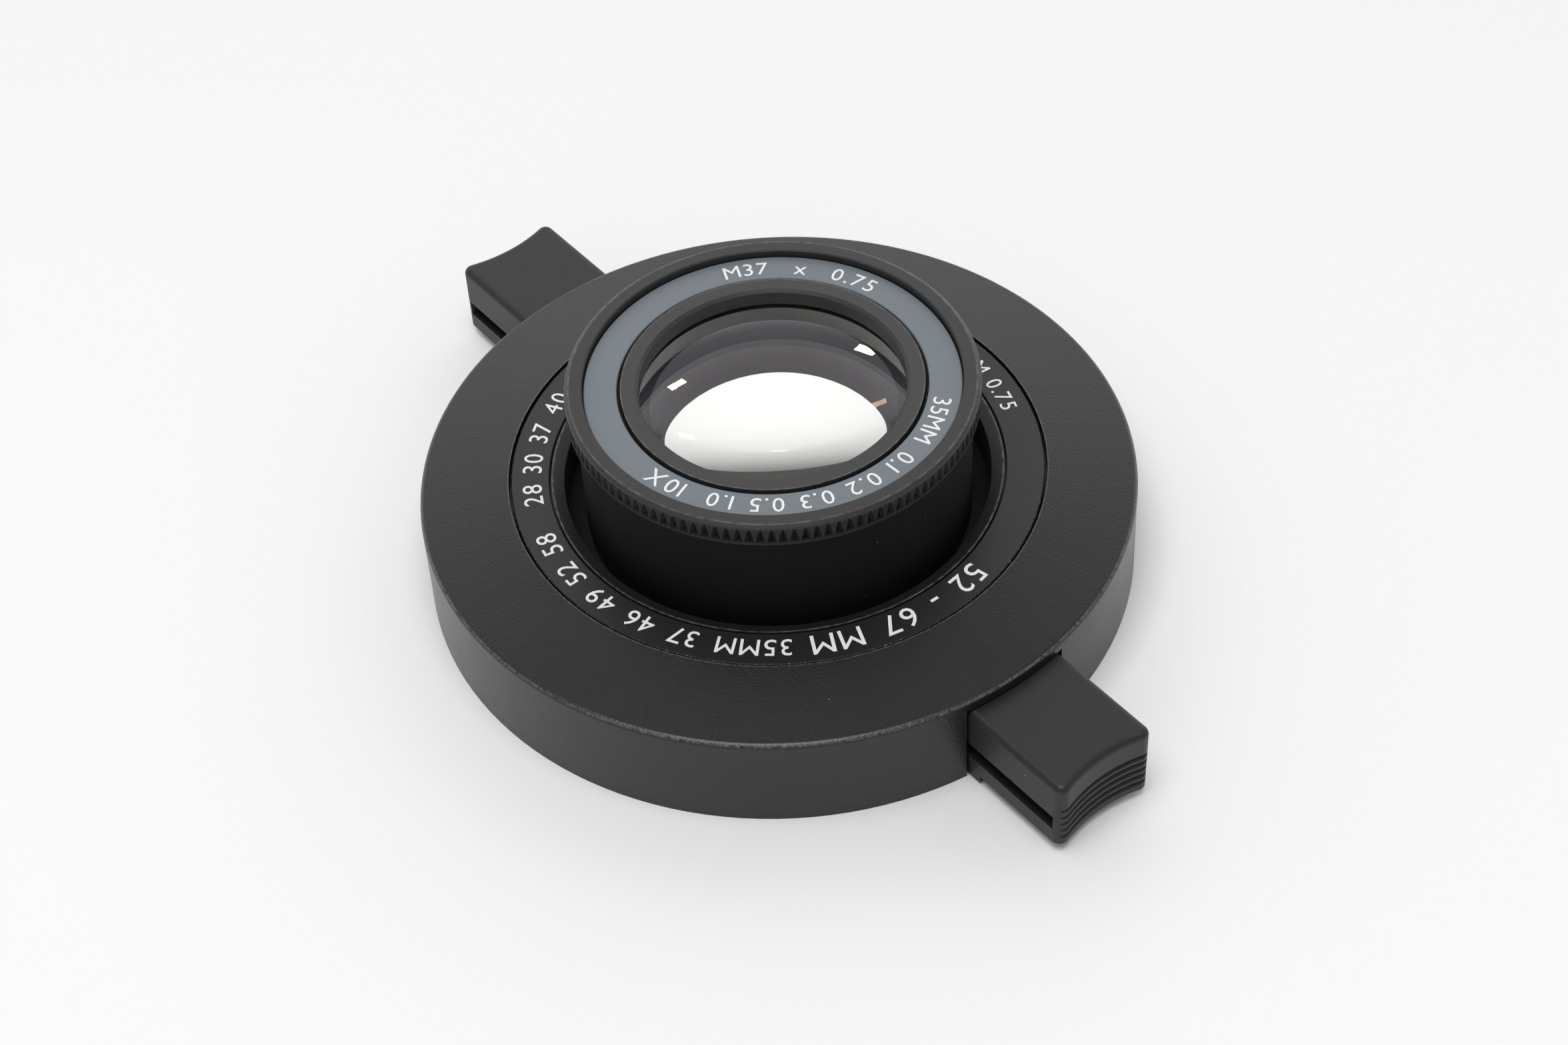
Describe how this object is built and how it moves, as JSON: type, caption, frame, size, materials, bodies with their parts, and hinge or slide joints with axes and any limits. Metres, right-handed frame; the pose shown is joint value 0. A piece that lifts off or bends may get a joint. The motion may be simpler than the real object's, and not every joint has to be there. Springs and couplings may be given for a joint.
{
  "type": "clip-on close-up lens",
  "caption": "Round close-up lens on a dished clip-on adapter, with two opposed spring-loaded finger tabs that draw in the thread-gripping jaws, and a knurled screw-in lens barrel.",
  "frame": {"origin": "on the optical axis, in the plane of the rim's foot", "axes": "+Z along the optical axis towards the subject, +X towards the right-hand finger tab"},
  "size_m": [0.1136, 0.085, 0.0276],
  "materials": {
    "grained_plastic": "fine-grained satin black",
    "tab_plastic": "fine-grained satin black",
    "jaw_plastic": "satin black",
    "black_anodised": "black anodised, satin",
    "label_black": "satin black with white print",
    "label_grey": "satin blue-grey with white print",
    "barrel_black": "black anodised, matte",
    "knurl_black": "black anodised, knurled",
    "retainer_black": "black anodised, satin",
    "glass": "polished, coated",
    "screw_steel": "blackened steel",
    "spring_steel": "bright wire",
    "washer_rubber": "matte black"
  },
  "bodies": {
    "housing": {"front_cover": "grained_plastic", "mount_ring": "black_anodised", "cover_label_ring": "label_black", "back_plate": "grained_plastic", "mount_screws": "screw_steel", "plate_screws": "screw_steel", "right_spring": "spring_steel", "left_spring": "spring_steel"},
    "right_pinch_tab": {"right_tab": "tab_plastic", "right_jaw": "jaw_plastic", "right_jaw_screws": "screw_steel"},
    "left_pinch_tab": {"left_tab": "tab_plastic", "left_jaw": "jaw_plastic", "left_jaw_screws": "screw_steel"},
    "washer": {"seating_washer": "washer_rubber"},
    "lens": {"lens_barrel": "barrel_black", "front_ring": "knurl_black", "front_label_ring": "label_grey", "glass_retainer": "retainer_black", "glass_spacer": "barrel_black", "front_element": "glass", "pair_front_element": "glass", "pair_back_element": "glass"}
  },
  "joints": [
    {"name": "right_pinch", "type": "slide", "parent": "housing", "child": "right_pinch_tab", "axis": [-1, 0, 0], "range_m": [0, 0.0085], "stiffness_N_per_m": 450, "springref_m": -0.004, "deforming": ["right_spring"]},
    {"name": "left_pinch", "type": "slide", "parent": "housing", "child": "left_pinch_tab", "axis": [1, 0, 0], "range_m": [0, 0.0085], "stiffness_N_per_m": 450, "springref_m": -0.004, "deforming": ["left_spring"]},
    {"name": "lens_rise", "type": "slide", "parent": "housing", "child": "washer", "axis": [0, 0, 1], "range_m": [0, 0.003]},
    {"name": "lens_turn", "type": "hinge", "parent": "washer", "child": "lens", "pos_m": [0, 0, 0.00805], "axis": [0, 0, 1], "range_deg": [0, 1440]}
  ],
  "couplings": [
    {"joint": "lens_rise", "follows": "lens_turn", "m_per_rad": 0.00011937}
  ]
}
